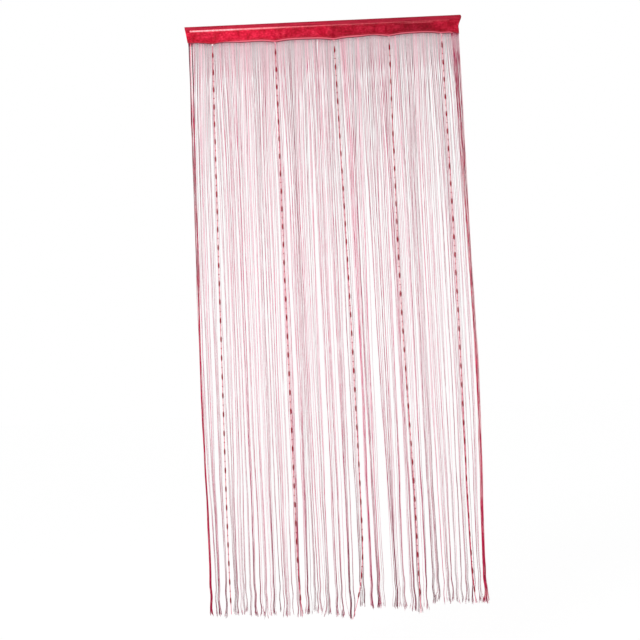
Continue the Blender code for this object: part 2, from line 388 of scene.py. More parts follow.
def ranged(tree, value, start, end, low=0.0, high=1.0):
    """Low at the start and high at the end, straight between."""
    inputs = {"Value": value, "From Min": start, "From Max": end, "To Min": low, "To Max": high}
    return add_node(tree, "ShaderNodeMapRange", inputs).outputs["Result"]


def bumped(tree, shader, height, distance, strength=1.0):
    """Adds a height to the shader's normal, on top of what is there."""
    inputs = {"Height": height, "Distance": distance, "Strength": strength}
    node = add_node(tree, "ShaderNodeBump", inputs)
    below = shader.inputs["Normal"]
    if below.is_linked:
        tree.links.new(below.links[0].from_socket, node.inputs["Normal"])
    tree.links.new(node.outputs["Normal"], below)


def own_value(tree, name):
    """A value that the mesh carries point by point."""
    return add_node(tree, "ShaderNodeAttribute", {}, attribute_name=name).outputs["Fac"]


def coordinates(tree, name):
    return add_node(tree, "ShaderNodeTexCoord", {}).outputs[name]


# Finishes
def tape_satin():
    """Red satin: fine warp and weft and soft creases, with painted light and shade in patches and across
    it, painted shade on the pocket, and painted highlights along the ridges and the foot.
    """
    finish, tree, shader = new_material("tape_satin", 0.42)
    on_cloth = coordinates(tree, "UV")
    # the patches paint the light and shade on the satin's wrinkles over its uneven tone; the brighter ones
    # are also glossier
    broad = clouds(tree, on_cloth, (26.0, 36.0, 1.0), 3.0)
    small = clouds(tree, on_cloth, (120.0, 170.0, 1.0))
    patches = calculated(tree, "MULTIPLY_ADD", small, 0.45, calculated(tree, "MULTIPLY", broad, 0.55))
    tones = ((0.34, (0.30, 0.001, 0.009)), (0.50, (0.52, 0.004, 0.028)), (0.66, (0.80, 0.026, 0.072)))
    colour = ramped(tree, patches, tones)
    colour = mixed(tree, own_value(tree, "lit"), (0.0, 0.0, 0.0, 1.0), colour)
    # painted shade: the pocket's roll darker and duller, with fine lines
    lines = clouds(tree, on_cloth, (9.0, 430.0, 1.0), 3.0)
    pocket = ramped(tree, lines, ((0.32, (0.20, 0.003, 0.014)), (0.68, (0.46, 0.020, 0.050))))
    colour = mixed(tree, own_value(tree, "pocket"), colour, pocket)
    # painted highlight: paler pink along the ridges and the foot, broken into streaks
    streaks = clouds(tree, on_cloth, (60.0, 900.0, 1.0))
    breaks = clouds(tree, on_cloth, (150.0, 20.0, 1.0), 3.0)
    streaks = calculated(tree, "MULTIPLY_ADD", breaks, 1.1, calculated(tree, "ADD", streaks, -0.15))
    worn = calculated(tree, "MULTIPLY", own_value(tree, "worn"), streaks)
    colour = mixed(tree, calculated(tree, "MULTIPLY", worn, 2.0), colour, (0.82, 0.050, 0.085, 1.0))
    colour = mixed(tree, calculated(tree, "POWER", worn, 1.5), colour, (1.0, 0.62, 0.66, 1.0))
    feed(tree, shader.inputs["Base Color"], colour)
    feed(tree, shader.inputs["Roughness"], ranged(tree, patches, 0.3, 0.7, 0.50, 0.34))
    shader.inputs["Specular IOR Level"].default_value = 0.09
    bumped(tree, shader, clouds(tree, on_cloth, (95.0, 190.0, 1.0), 3.0), 0.0022)
    bumped(tree, shader, lines, 0.0012)
    warp = bands(tree, on_cloth, 900.0, "X")
    weft = bands(tree, on_cloth, 420.0, "Y")
    bumped(tree, shader, calculated(tree, "MAXIMUM", warp, weft), 0.00008, 0.6)
    return finish


def band_weave():
    """Woven fringe band in paler pink, with a rib for every yarn and painted shade between the ribs."""
    finish, tree, shader = new_material("band_weave", 0.75)
    on_band = coordinates(tree, "UV")
    rib = bands(tree, on_band, 267.0, "X")
    uneven_dye = clouds(tree, on_band, (160.0, 160.0, 160.0))
    # painted shade: darker between the ribs
    colour = ramped(tree, rib, ((0.1, (0.54, 0.060, 0.095)), (0.8, (0.84, 0.18, 0.24))))
    colour = mixed(tree, calculated(tree, "MULTIPLY", uneven_dye, 0.4), colour, (0.60, 0.09, 0.13, 1.0))
    feed(tree, shader.inputs["Base Color"], colour)
    bumped(tree, shader, rib, 0.0002)
    return finish


def twisted_cord(name, colour_low, colour_high):
    """Cord of twisted plies, with painted shade between them."""
    finish, tree, shader = new_material(name, 0.7)
    ply = bands(tree, coordinates(tree, "Object"), 420.0, "DIAGONAL")
    feed(tree, shader.inputs["Base Color"], ramped(tree, ply, ((0.15, colour_low), (0.75, colour_high))))
    shader.inputs["Sheen Weight"].default_value = 0.2
    bumped(tree, shader, ply, 0.0002)
    return finish


VEIL_DYES = (
    (0.00, (0.11, 0.006, 0.028)),
    (0.35, (0.37, 0.013, 0.080)),
    (0.70, (0.68, 0.030, 0.165)),
    (1.00, (0.92, 0.125, 0.320)),
)
EDGE_DYES = (
    (0.00, (0.09, 0.004, 0.020)),
    (0.35, (0.44, 0.007, 0.058)),
    (0.70, (0.72, 0.012, 0.090)),
    (1.00, (0.90, 0.060, 0.180)),
)
VEIL_SLUBS = (0.24, 9.0)  # change of shade, slubs for each metre
EDGE_SLUBS = (1.10, 55.0)
# share of the painted mauve shading on the right cord's yarns near the top
EDGE_TOP_RIGHT_SHADING = 0.70


def spun_yarn(name, tones, slubs, top_right_shading=0.0):
    """Spun yarn, each in its own shade, with slubs, twist with painted shade in its grooves, a dusty sheen
    and painted mauve shading at the top right.
    """
    finish, tree, shader = new_material(name, 0.62)
    place = coordinates(tree, "Object")
    change, closeness = slubs
    uneven_dye = clouds(tree, place, (300.0, 300.0, closeness))
    shade = calculated(tree, "SUBTRACT", own_value(tree, "shade"), change / 2)
    colour = ramped(tree, calculated(tree, "MULTIPLY_ADD", uneven_dye, change, shade), tones)
    # painted shading: a mauve tint towards the top right
    if top_right_shading:
        apart = add_node(tree, "ShaderNodeSeparateXYZ", {"Vector": place}).outputs
        share = calculated(tree, "MULTIPLY", ranged(tree, apart["X"], 0.0, 0.1), top_right_shading)
        share = calculated(tree, "MULTIPLY", ranged(tree, apart["Z"], -0.60, -0.10), share)
        colour = mixed(tree, share, colour, (0.36, 0.022, 0.095, 1.0))
    twist = bands(tree, place, 700.0, "DIAGONAL")
    # painted shade: darker in the grooves along the twist
    colour = mixed(tree, calculated(tree, "MULTIPLY", twist, 0.24), colour, (0.18, 0.003, 0.025, 1.0))
    feed(tree, shader.inputs["Base Color"], colour)
    shader.inputs["Sheen Weight"].default_value = 0.05
    shader.inputs["Sheen Roughness"].default_value = 0.4
    shader.inputs["Specular IOR Level"].default_value = 0.25
    bumped(tree, shader, twist, 0.00010)
    return finish


def clear_red(name, deep, light, transmission):
    """Polished clear plastic, deeper at its core and lighter towards the rim as seen: painted light through
    its thin edge.
    """
    finish, tree, shader = new_material(name, 0.12)
    # painted light: paler where the surface turns away from the view
    rim = add_node(tree, "ShaderNodeLayerWeight", {"Blend": 0.35}).outputs["Facing"]
    swirl = clouds(tree, coordinates(tree, "Object"), (140.0, 140.0, 55.0))
    share = calculated(tree, "MULTIPLY_ADD", swirl, 0.5, calculated(tree, "MULTIPLY", rim, 0.45))
    feed(tree, shader.inputs["Base Color"], ramped(tree, share, ((0.2, deep), (0.85, light))))
    shader.inputs["Transmission Weight"].default_value = transmission
    shader.inputs["IOR"].default_value = 1.49
    shader.inputs["Specular IOR Level"].default_value = 0.30
    shader.inputs["Coat Weight"].default_value = 0.15
    shader.inputs["Coat Roughness"].default_value = 0.06
    return finish


# Mesh tools
def object_from(bm, name, finish):
    """Turns the bmesh into a smooth object at the origin."""
    mesh = bpy.data.meshes.new(name)
    bm.to_mesh(mesh)
    bm.free()
    mesh.materials.append(finish)
    mesh.shade_smooth()
    return new_object(name, mesh)


def curtain_piece(bm, name, finish, node):
    """A piece that rides on the curtain, takes its slot and stands for a node."""
    obj = object_from(bm, name, finish)
    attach(obj, "root")
    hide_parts(node)
    return obj


def smooth_through(stations, values, wanted, hangs_plumb=False):
    """A soft curve through the values at the stations, read at the wanted places."""
    stations = np.asarray(stations, dtype=float)
    values = np.asarray(values, dtype=float)
    wanted = np.asarray(wanted, dtype=float)
    slopes = np.gradient(values, stations, axis=0)
    if hangs_plumb:
        slopes[-1] = 0.0
    number = np.clip(np.searchsorted(stations, wanted) - 1, 0, len(stations) - 2)
    width = stations[number + 1] - stations[number]
    part = (wanted - stations[number]) / width
    if values.ndim > 1:
        part = part[:, None]
        width = width[:, None]
    from_start = (1 + 2 * part) * (1 - part) ** 2 * values[number]
    from_start = from_start + part * (1 - part) ** 2 * width * slopes[number]
    to_end = part**2 * (3 - 2 * part) * values[number + 1]
    return from_start + to_end - part**2 * (1 - part) * width * slopes[number + 1]


def eased(value, start, end):
    """0 before start, 1 after end, and a smooth step between."""
    part = np.clip((np.asarray(value, dtype=float) - start) / (end - start), 0.0, 1.0)
    return part * part * (3 - 2 * part)


def near(value, middle, reach):
    """1 at the middle, and falling off softly over the reach on either side."""
    return math.exp(-(((value - middle) / reach) ** 2))


def from_table(table, place):
    """The value at a place, straight between the rows (place, value) of the table."""
    return np.interp(place, *zip(*table))


def grow_tubes(bm, paths, widths, sides, shades, plane=(AXIS_X, AXIS_Y)):
    """Grows a tube along each path, with its rings in the plane. Paths: tubes x rings x 3."""
    shade_of = bm.verts.layers.float.new("shade")
    tube_of = bm.verts.layers.int.new("tube")
    corner_of = bm.verts.layers.int.new("corner")
    turns = [2 * math.pi * k / sides for k in range(sides)]
    spokes = [plane[0] * math.cos(turn) + plane[1] * math.sin(turn) for turn in turns]

    def set_ring(face, ring):
        for vert in face.verts:
            tube = vert[tube_of]
            reach = spokes[vert[corner_of]] * (widths[tube][ring] / 2)
            vert.co = Vector(paths[tube][ring]) + reach
            vert[shade_of] = shades[tube][ring]

    ends = []
    for tube in range(len(paths)):
        circle = bmesh.ops.create_circle(bm, cap_ends=True, segments=sides, radius=1.0)
        for corner, vert in enumerate(circle["verts"]):
            vert[tube_of] = tube
            vert[corner_of] = corner
        ends.append(circle["verts"][0].link_faces[0])
    for face in ends:
        set_ring(face, 0)
    grown = bmesh.ops.extrude_face_region(bm, geom=ends)["geom"]
    ends = [item for item in grown if isinstance(item, bmesh.types.BMFace)]
    for ring in range(1, len(paths[0])):
        if ring > 1:
            ends = bmesh.ops.extrude_discrete_faces(bm, faces=ends)["faces"]
        for face in ends:
            set_ring(face, ring)
    outwards(bm)


def outwards(bm):
    bmesh.ops.recalc_face_normals(bm, faces=bm.faces)


def shape_from(bm):
    outwards(bm)
    mesh = bpy.data.meshes.new("shape")
    bm.to_mesh(mesh)
    bm.free()
    return mesh


def ball_shape(across, down, radius, stretch):
    """A ball with so many faces across and down, stretched along each axis."""
    bm = bmesh.new()
    bmesh.ops.create_uvsphere(bm, u_segments=across, v_segments=down, radius=radius)
    bmesh.ops.scale(bm, verts=bm.verts, vec=stretch)
    return shape_from(bm)


def set_out(bm, shape, matrices):
    """Adds a copy of the shape at each matrix, and drops the shape."""
    for matrix in matrices:
        one = shape.copy()
        one.transform(matrix)
        bm.from_mesh(one)
        bpy.data.meshes.remove(one)
    bpy.data.meshes.remove(shape)


def copies(shape, matrices):
    bm = bmesh.new()
    set_out(bm, shape, matrices)
    return bm


def grid_points(bm, columns, rows):
    """Makes a grid, and hands out each of its points with its column and row."""
    bmesh.ops.create_grid(bm, x_segments=columns - 1, y_segments=rows - 1, size=1.0)
    for vert in bm.verts:
        yield vert, round((vert.co.x + 1) / 2 * (columns - 1)), round((vert.co.y + 1) / 2 * (rows - 1))


def thicken(obj, thickness):
    """Gives a sheet its thickness, half of it to each side."""
    cloth = obj.modifiers.new("cloth", "SOLIDIFY")
    cloth.thickness = thickness
    cloth.offset = 0.0
    return cloth


def lay_out(bm, spots):
    """Gives each point its place on the flat cloth."""
    on_cloth = bm.loops.layers.uv.new("UVMap")
    for face in bm.faces:
        for loop in face.loops:
            loop[on_cloth].uv = spots[loop.vert]


# Places across the width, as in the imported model
def string_roots():
    left_end = -FIELD_HALF + LEFT_EDGE["width"]
    right_start = FIELD_HALF - RIGHT_EDGE["width"]
    stretches = (
        (-FIELD_HALF, left_end, LEFT_EDGE["strings"]),
        (left_end, right_start, MIDDLE_STRINGS),
        (right_start, FIELD_HALF, RIGHT_EDGE["strings"]),
    )
    roots = []
    for start, end, count in stretches:
        pitch = (end - start) / count
        roots += [start + pitch * (i + 0.5) for i in range(count)]
    return roots


def gaps_between(roots):
    """The middle of each gap between strings, with the field's two ends."""
    inner = [(a + b) / 2 for a, b in zip(roots, roots[1:])]
    return [-FIELD_HALF, *inner, FIELD_HALF]


def section_gaps(gaps):
    """Numbers of the gaps where the tape bends: at each bead strand, and evenly between."""
    anchors = [0]
    for strand in BEAD_STRANDS_MM:
        anchors.append(int(np.argmin(np.abs(np.array(gaps) - strand[0] * MM))))
    anchors.append(len(gaps) - 1)
    numbers = []
    for first, last in zip(anchors, anchors[1:]):
        steps = max(1, round((gaps[last] - gaps[first]) / SECTION_WIDTH))
        numbers += [round(first + (last - first) * k / steps) for k in range(steps)]
    return [*numbers, anchors[-1]]


ROOTS = string_roots()
GAPS = gaps_between(ROOTS)
SECTION_X = [GAPS[number] for number in section_gaps(GAPS)]


def arc_edge(x):
    """Height of the tape's lower edge: low at each dip, with an arc between."""
    away = min(abs(x - dip) for dip in DIPS)
    low = np.interp(x, DIPS, TAPE_HEIGHTS_MM) * MM
    return -low + ARC_RISE * math.sin(math.pi / 2 * min(1.0, away / ARC_REACH))


def arc_sway(x):
    return sum(size * math.sin(2 * math.pi * x / length + phase) for size, length, phase in SWAYS)


SECTION_EDGE = [arc_edge(x) for x in SECTION_X]
SECTION_SWAY = [arc_sway(x) for x in SECTION_X]


def edge_at(x):
    return np.interp(x, SECTION_X, SECTION_EDGE)


def sway_at(x):
    return np.interp(x, SECTION_X, SECTION_SWAY)


def band_showing(x):
    return from_table(BAND_SHOWING_MM, x / MM) * MM


# Heading tape
SOFT_CREASES = (  # across, width, depth, lean: upright creases in the flat part of the tape
    (-0.447, 0.007, 0.0010, 0.10),
    (-0.387, 0.006, 0.0022, 0.05),
    (-0.357, 0.004, 0.0009, -0.20),
    (-0.322, 0.012, -0.0010, 0.30),
    (-0.292, 0.004, 0.0018, -0.05),
    (-0.250, 0.016, -0.0010, 0.20),
    (-0.196, 0.014, -0.0026, 0.05),
    (-0.165, 0.006, 0.0026, 0.10),
    (-0.146, 0.004, 0.0014, -0.10),
    (-0.133, 0.006, -0.0018, 0.10),
    (-0.085, 0.016, 0.0010, 0.30),
    (-0.018, 0.014, -0.0026, -0.15),
    (0.009, 0.005, 0.0010, 0.10),
    (0.027, 0.008, -0.0024, 0.05),
    (0.043, 0.006, 0.0024, 0.20),
    (0.110, 0.018, 0.0012, 0.20),
    (0.146, 0.006, 0.0012, -0.20),
    (0.172, 0.008, -0.0020, 0.15),
    (0.222, 0.006, 0.0022, 0.10),
    (0.262, 0.012, -0.0012, 0.30),
    (0.330, 0.018, 0.0012, -0.25),
    (0.388, 0.010, -0.0014, 0.15),
    (0.412, 0.005, 0.0020, -0.10),
    (0.436, 0.009, -0.0016, 0.10),
)
CREASES_TURN_AT = -0.040  # the height where a leaning crease is in its place
WRINKLES = (  # depth, wrinkles for each metre across and upwards, seed
    (0.00045, 55.0, 40.0, 2.0),
    (0.00025, 24.0, 190.0, 4.0),
)
POCKET_SLACK = ((0.16, 9.0, 0.4), (0.07, 34.0, 1.4))  # share of the pocket's depth, turns a metre, seed
POCKET_FOOT = -0.0205
PUCKER = 0.00012
HEM_STEP = 0.0003  # how far the doubled cloth of an end hem stands out
BACK_SEED = 7.3
RIDGE_DEPTH = 0.0172
RIDGE_REACH = 0.0012
RIDGE_HEIGHT = 0.0013
RIDGE_FALL = 0.0008  # how much lower the ridge is at the right end
SECOND_RIDGE_DEPTH = RIDGE_DEPTH + 0.0036
SECOND_RIDGE_HEIGHT = 0.0006
HIGHLIGHT_FULL_HEIGHT = 0.0024  # the height at which the second ridge's painted highlight would be quite pale
RIDGE_SHINE = (  # across, how strong the painted highlight on the ridge is
    (-0.330, 1.00),
    (-0.290, 0.80),
    (-0.175, 0.66),
    (-0.110, 0.45),
    (0.030, 0.30),
    (0.340, 0.16),
)
CLOTH_LIT = (  # across, how much light the satin catches
    (-0.470, 0.92),
    (-0.420, 0.84),
    (-0.385, 0.86),
    (-0.330, 1.00),
    (-0.190, 1.00),
    (-0.150, 0.84),
    (-0.050, 0.76),
    (-0.012, 0.90),
    (0.012, 0.86),
    (0.030, 0.66),
    (0.220, 0.62),
    (0.290, 0.46),
    (0.365, 0.46),
    (0.400, 0.66),
    (0.470, 0.72),
)
POCKET_FADES = ((0.75, 0.0135, 0.0190), (0.25, 0.0, 0.0035))  # share, depths where the painted shade on the pocket ends
FOOT_SHADE = 0.14
# a painted highlight along the foot, where its rolled edge catches the light
FOOT_HIGHLIGHT = 0.10
CORNER_HEIGHT = 0.010
CORNER_REACH = 0.0065


def tape_rows(x):
    """The folded tape's middle line at x: from the front foot over the fold to the back foot."""
    low = edge_at(x)
    front = [(-out * MM, low + up * MM) for out, up in TAPE_ROWS_MM[:FOOT_ROWS]]
    front += [(-out * MM, up * MM) for out, up in TAPE_ROWS_MM[FOOT_ROWS:]]
    return front + [(-y, z) for y, z in reversed(front[:-1])]


def row_places():
    """Where the finer rows lie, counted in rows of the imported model, from foot to foot."""
    front = []
    for row, steps in enumerate(TAPE_ROW_STEPS):
        front += [row + k / steps for k in range(steps)]
    return front + [FOLD_ROW] + [2 * FOLD_ROW - place for place in reversed(front)]


ROW_PLACES = row_places()


def crease_depth(x, z):
    """How far the soft upright creases move the flat part back."""
    total = 0.0
    for across, width, depth, lean in SOFT_CREASES:
        total += depth * near(x, across + lean * (z - CREASES_TURN_AT), width)
    return total


def ridge_height(x):
    """The tuck under the pocket: full at the left, thin at the right, none on the end hems."""
    full = RIDGE_HEIGHT - RIDGE_FALL * (x + TOP_HALF) / TAPE_TOP_WIDTH
    starts = eased(x, -TOP_HALF + 0.020, -TOP_HALF + 0.024)
    ends = eased(x, TOP_HALF - 0.050, TOP_HALF - 0.038)
    return full * starts * (1 - ends)


def second_ridge_height(x):
    """A smaller tuck below it, near the right end."""
    return SECOND_RIDGE_HEIGHT * eased(x, 0.270, 0.300) * (1 - eased(x, 0.372, 0.392))


def tape_point(x, y, z, front):
    """Moves a point of the plain tape to where the hem, ridges, creases and stitches put it."""
    side = -1.0 if front else 1.0
    seed = 0.0 if front else BACK_SEED
    flat = eased(-z, 0.021, 0.031) * eased(z - edge_at(x), 0.001, 0.012)
    swaying = min(1.0, max(0.0, (-z - STITCH_DEPTH) / (SWAYING_FROM - STITCH_DEPTH)))
    if z > POCKET_FOOT:
        slack = 0.0
        for share, turns, own_seed in POCKET_SLACK:
            slack += share * noise.noise(Vector((x * turns, own_seed, seed)))
        y *= 1.0 + slack * eased(-z, 0.0, 0.004)
    hem = FOOT_HALF - HEM_WIDTH
    out = HEM_STEP * eased(abs(x), hem, hem + 0.0008)
    out += ridge_height(x) * near(z, -RIDGE_DEPTH, RIDGE_REACH)
    out += second_ridge_height(x) * near(z, -SECOND_RIDGE_DEPTH, RIDGE_REACH)
    seams = near(z, -STITCH_LINE - 0.0003, 0.003) + near(z, edge_at(x) + 0.004, 0.003)
    out += PUCKER * math.cos(math.pi * x / STITCH_PITCH) * seams
    for (depth, across, upwards, own_seed), share in zip(WRINKLES, (flat, 1.0)):
        out += depth * share * noise.noise(Vector((x * across, z * upwards, seed + own_seed)))
    return y + side * out + flat * crease_depth(x, z) + sway_at(x) * swaying


def end_place(x, z):
    """Widens the tape towards its top. Its right end is rounded at the top and drawn in lower down."""
    share = eased(abs(x), FOOT_HALF - HEM_WIDTH, FOOT_HALF)
    flare = (TOP_HALF - FOOT_HALF) * (1.0 + z / TAPE_HEIGHT)
    across = x + math.copysign(flare, x) * share
    if x > 0.0:
        up = max(0.0, 1.0 + z / CORNER_HEIGHT)
        moved = -CORNER_REACH * (1 - math.sqrt(max(0.0, 1 - up * up)))
        moved += 0.0015 * near(z, -0.012, 0.007) - 0.0040 * near(z, -0.038, 0.014)
        across += moved * share
    return across


def tape_column(x):
    """Points of the finished tape at x, from the front foot to the back foot."""
    plain = smooth_through(range(2 * FOLD_ROW + 1), tape_rows(x), ROW_PLACES).tolist()
    points = []
    for place, (y, z) in zip(ROW_PLACES, plain):
        points.append(Vector((end_place(x, z), tape_point(x, y, z, place <= FOLD_ROW), z)))
    return points


def column_places():
    """Columns of the tape, closer together at the step of each end hem."""
    hem = FOOT_HALF - HEM_WIDTH
    stops = (-FOOT_HALF, -hem - 0.0002, -hem + 0.0010, hem - 0.0010, hem + 0.0002, FOOT_HALF)
    steps = (7, 3, TAPE_COLUMNS - 20, 3, 7)
    places = []
    for start, end, count in zip(stops, stops[1:], steps):
        places += [start + (end - start) * k / count for k in range(count)]
    return [*places, FOOT_HALF]


def tape_marks(x, z, in_front):
    """How much painted shade on the pocket, painted light and painted highlight a point of the tape shows.
    """
    # painted shade on the pocket's roll, darkest at its top edge
    pocket = sum(share * (1 - eased(-z, start, end)) for share, start, end in POCKET_FADES)
    lit = from_table(CLOTH_LIT, x) * (1 - FOOT_SHADE * eased(edge_at(x) + 0.016, z, z + 0.012))
    # painted highlight along the foot and on the ridges under the pocket
    foot = FOOT_HIGHLIGHT * near(z, edge_at(x), 0.0012)
    if not in_front:
        return pocket, lit, 0.5 * foot
    reach = RIDGE_REACH * (1.5 - 0.5 * eased(x, -0.24, -0.05))
    shine = from_table(RIDGE_SHINE, x) if ridge_height(x) > 0.0002 else 0.0
    worn = foot + shine * near(z, -RIDGE_DEPTH, reach)
    worn += second_ridge_height(x) / HIGHLIGHT_FULL_HEIGHT * near(z, -SECOND_RIDGE_DEPTH, RIDGE_REACH)
    return pocket, lit, min(1.0, worn)


def heading_tape(finish):
    columns = column_places()
    rows = len(ROW_PLACES)
    bm = bmesh.new()
    marks = [bm.verts.layers.float.new(name) for name in ("pocket", "lit", "worn")]
    points = [tape_column(x) for x in columns]
    runs = [np.cumsum([0.0] + [(b - a).length for a, b in zip(p, p[1:])]) for p in points]
    spots = {}
    for vert, i, j in grid_points(bm, len(columns), rows):
        vert.co = points[i][j]
        for mark, value in zip(marks, tape_marks(columns[i], points[i][j].z, j <= (rows - 1) / 2)):
            vert[mark] = value
        spots[vert] = (columns[i], runs[i][j])
    lay_out(bm, spots)
    outwards_by_fold(bm)
    tape = curtain_piece(bm, "heading_tape", finish, "heading")
    thicken(tape, CLOTH).use_even_offset = True
    return tape


def outwards_by_fold(bm):
    """Turns the tape's faces so that the front layer faces the front."""
    bm.normal_update()
    lowest = min(bm.faces, key=lambda face: face.calc_center_median().y + face.calc_center_median().z)
    if lowest.normal.y > 0.0:
        bmesh.ops.reverse_faces(bm, faces=bm.faces)


def layer_points(x, front):
    """The points of one layer of the tape at x, from its foot upwards."""
    points = tape_column(x)
    half = len(points) // 2
    return points[:half] if front else points[half:][::-1]


def stitch_row(heights, front, start, end):
    """Matrices for a row of stitches across the tape, at a height that depends on the place."""
    count = round((end - start) / STITCH_PITCH)
    side = -1.0 if front else 1.0
    turn = Matrix.Rotation(math.pi / 2, 4, "Y") @ Matrix.Rotation(STITCH_LEAN, 4, "X")
    places = []
    for k in range(count + 1):
        x = start + (end - start) * k / count
        layer = layer_points(x, front)
        away = [abs(point.z - heights(x)) for point in layer]
        point = layer[away.index(min(away))]
        point.y += side * STITCH_PROUD
        places.append(Matrix.Translation(point) @ turn)
    return places


def hem_stitches(x, front):
    """Matrices for the row of stitches down one end hem, short of the fold."""
    side = -1.0 if front else 1.0
    xs, ys, heights = zip(*layer_points(x, front))
    count = round((heights[-1] - heights[0]) / STITCH_PITCH)
    places = []
    for k in range(1, count):
        z = heights[0] + (heights[-1] - heights[0]) * k / count
        if z <= -0.003:
            y = np.interp(z, heights, ys) + side * STITCH_PROUD
            places.append(Matrix.Translation((np.interp(z, heights, xs), y, z)))
    return places


def topstitching(finish):
    end = FOOT_HALF - SEAM_INSET
    hem = FOOT_HALF - HEM_WIDTH + SEAM_INSET
    places = []
    for front in (True, False):
        places += stitch_row(lambda x: -STITCH_LINE, front, -end, end)
        places += stitch_row(lambda x: edge_at(x) + FOOT_SEAM, front, -end, end)
        places += hem_stitches(-hem, front) + hem_stitches(hem, front)
    stitch = ball_shape(6, 4, 0.5, (STITCH_WIDTH, STITCH_WIDTH, STITCH_LENGTH))
    return curtain_piece(copies(stitch, places), "topstitching", finish, "heading")


# Fringe band
RIB_PITCH = 0.00118
RIB_RELIEF = 0.00016
BAND_ROWS = 5
CORD_WIDTH = 0.0032
CORD_FLATNESS = 0.7
CORD_RINGS = 420


def fringe_band(finish):
    """The ribbed band between the tape's two layers, with a rib for every yarn."""
    steps = 2 * round(STRING_FIELD_WIDTH / RIB_PITCH)
    bm = bmesh.new()
    spots = {}
    for vert, i, j in grid_points(bm, steps + 1, BAND_ROWS + 1):
        x = -FIELD_HALF + STRING_FIELD_WIDTH * i / steps
        up = -band_showing(x) + (BAND_TUCKED + band_showing(x)) * j / BAND_ROWS
        relief = RIB_RELIEF if i % 2 else -RIB_RELIEF
        vert.co = (x, sway_at(x) - relief, edge_at(x) + up)
        spots[vert] = (x, up)
    lay_out(bm, spots)
    outwards(bm)
    band = curtain_piece(bm, "fringe_band", finish, "strings")
    thicken(band, BAND_THICK * 0.8)
    return band


def binding_cord(finish):
    """A dark cord where the yarns leave the band; its dark colour also paints the shade in the gap under
    the band.
    """
    places = np.linspace(-FIELD_HALF, FIELD_HALF, CORD_RINGS)
    path = [(x, sway_at(x), edge_at(x) - band_showing(x) + CORD_WIDTH * 0.4) for x in places]
    widths = [CORD_WIDTH] * CORD_RINGS
    shades = [0.5] * CORD_RINGS
    bm = bmesh.new()
    grow_tubes(bm, [path], [widths], 8, [shades], plane=(AXIS_Y * CORD_FLATNESS, AXIS_Z))
    return curtain_piece(bm, "binding_cord", finish, "strings")


# Yarns
def lock_borders():
    """The places across the band where one lock's strings end and the next lock's begin."""
    borders = [-FIELD_HALF + LEFT_EDGE["width"]]
    inner = HEM_LOCKS_MM[1:-1]
    for (x, pull, _), (next_x, next_pull, _) in zip(inner, inner[1:]):
        borders.append((x + (next_x - x) * pull / (pull + next_pull)) * MM)
    borders.append(FIELD_HALF - RIGHT_EDGE["width"])
    return borders


def uneven(number):
    """A value from -0.5 to 0.5 that is scattered over neighbouring numbers."""
    return number * GOLDEN % 1 - 0.5


def stays_loose(column, columns, away, members):
    """Most of the columns that lie far out at a lock's left or right side join it only in part."""
    at_left = column == 0 and away < -LOOSE_FROM
    at_right = column == columns - 1 and away > LOOSE_FROM
    return (at_left or at_right) and uneven(members[0]) > LOOSE_ABOVE


def column_route(column, columns, lock, members):
    """A column's middle at the band, and (x, share of the drop, share into the column) at each bend."""
    lock_x = HEM_LOCKS_MM[lock][0] * MM + (column - (columns - 1) / 2) * LAYER_PITCH
    root = sum(ROOTS[number] for number in members) / len(members)
    gathering = {0: LEFT_GATHERING, len(HEM_LOCKS_MM) - 1: RIGHT_GATHERING}.get(lock, GATHERING)
    loose = gathering is GATHERING and stays_loose(column, columns, root - lock_x, members)
    joins = LOOSE_SHARE if loose else 1.0
    route = []
    for down, into_column, into_lock, lock_shift in gathering:
        drift = COLUMN_DRIFT * uneven(members[0]) * into_column * (1 - into_lock)
        reach = lock_x + lock_shift * MM - root
        route.append((root + reach * into_lock * joins + drift, down, into_column))
    return root, route


def string_routes():
    """For each string: its layer, lock, column, and its middle at the root and at each bend."""
    lock_of = np.searchsorted(lock_borders(), ROOTS)
    routes = []
    for lock, (_, _, longer_mm) in enumerate(HEM_LOCKS_MM):
        mates = [int(number) for number in np.flatnonzero(lock_of == lock)]
        columns = math.ceil(len(mates) / len(LAYERS))
        for column in range(columns):
            members = mates[column * len(LAYERS) : (column + 1) * len(LAYERS)]
            column_root, bends = column_route(column, columns, lock, members)
            for number, layer in zip(members, LAYERS):
                length = DROP + longer_mm * MM + UNEVEN_ENDS * uneven(number)
                root = ROOTS[number]
                places = [(root, sway_at(root), edge_at(root) - band_showing(root))]
                for x, down, into_column in bends:
                    aside = (root - column_root) * (1 - into_column)
                    places.append((x + aside, layer * LAYER_PITCH, -down * length))
                route = {"layer": layer, "lock": lock, "column": members[0], "places": places}
                route["aside"] = (column + 0.5) / columns - 0.5
                routes.append(route)
    return routes


PARTING = {"middle": -0.0225, "reach": 0.006, "width": 0.0018}  # a slit in the veil under the tape
CROWDING = (  # amplitude, wavelength, phase, depths between which it sets in
    (0.0007, 0.047, 0.4, 0.060, 0.110),
    (0.0006, 0.031, 2.2, 0.060, 0.160),
    (0.0042, 0.105, 4.1, 0.060, 0.450),
    (0.0021, 0.063, 1.3, 0.120, 0.600),
    (0.0040, 0.187, 0.7, 0.150, 0.700),
)
VEIL_REACH = 0.060  # how far in the veil is drawn towards the cords at its two sides
VEIL_DRAW = {"left": -0.014, "right": 0.016}
STRAYS = 0.24  # share of the strings that hang by themselves
STRONG_LOCK = 4  # the pull from which a lock leaves few of them
STRONG_STRAYS = 0.4
STRAYING = (0.0, 0.45)  # how far such a string joins its lock
JOINING = (0.85, 1.0)
SIDE_CORD_SPREADS = 0.20  # how much wider the side cords hang lower down
OWN_LEANS = ((0.0006, 0.08, 0.20), (0.0011, 0.25, 0.90))  # how far, depths between which it sets in
OWN_WAVES = ((0.0012, 1.10), (0.0007, 0.52), (0.0003, 0.21))  # amplitude, wavelength
